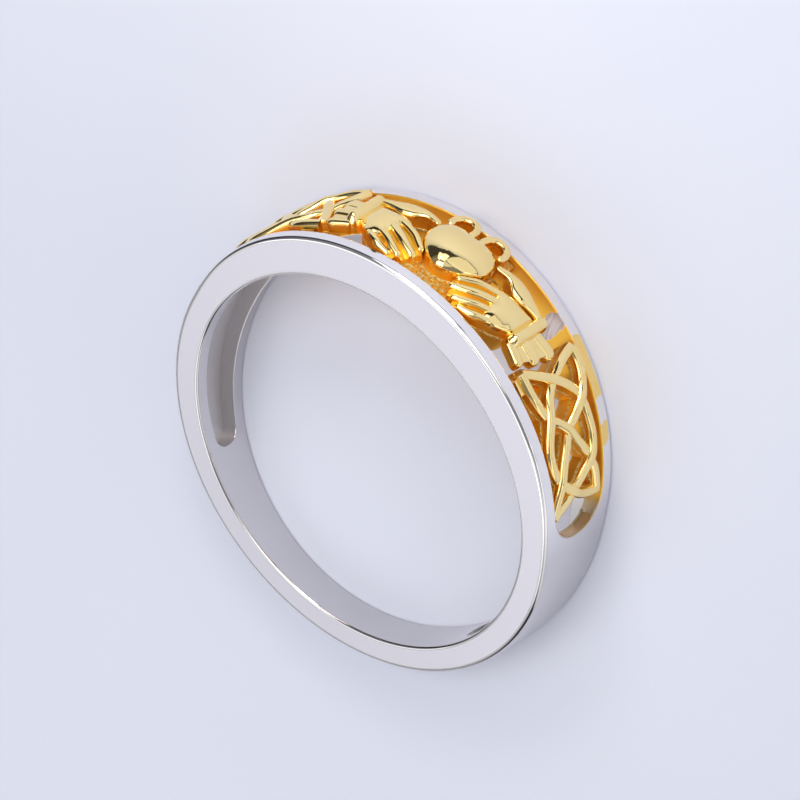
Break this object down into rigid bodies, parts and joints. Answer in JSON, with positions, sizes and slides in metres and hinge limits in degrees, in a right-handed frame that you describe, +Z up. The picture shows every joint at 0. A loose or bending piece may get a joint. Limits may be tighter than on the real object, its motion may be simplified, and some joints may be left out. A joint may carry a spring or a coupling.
{
  "type": "claddagh ring",
  "caption": "Tapering silver finger ring with two rails and a pierced gold inlay of a crowned heart held by hands between woven knots.",
  "frame": {"origin": "under the middle of the ring's outline, on the surface that the ring lies on", "axes": "+Z up, close to the axis of the finger hole; -Y points to the front of the ring, where the heart is; +X points to the left hand of the motif as the picture shows it"},
  "size_m": [0.02, 0.0214, 0.0059],
  "materials": {
    "silver": "polished, with satin side faces",
    "gold": "mirror polished"
  },
  "bodies": {
    "root": {"band": "silver", "claddagh": "gold", "knot_left": "gold", "knot_right": "gold"}
  },
  "joints": []
}
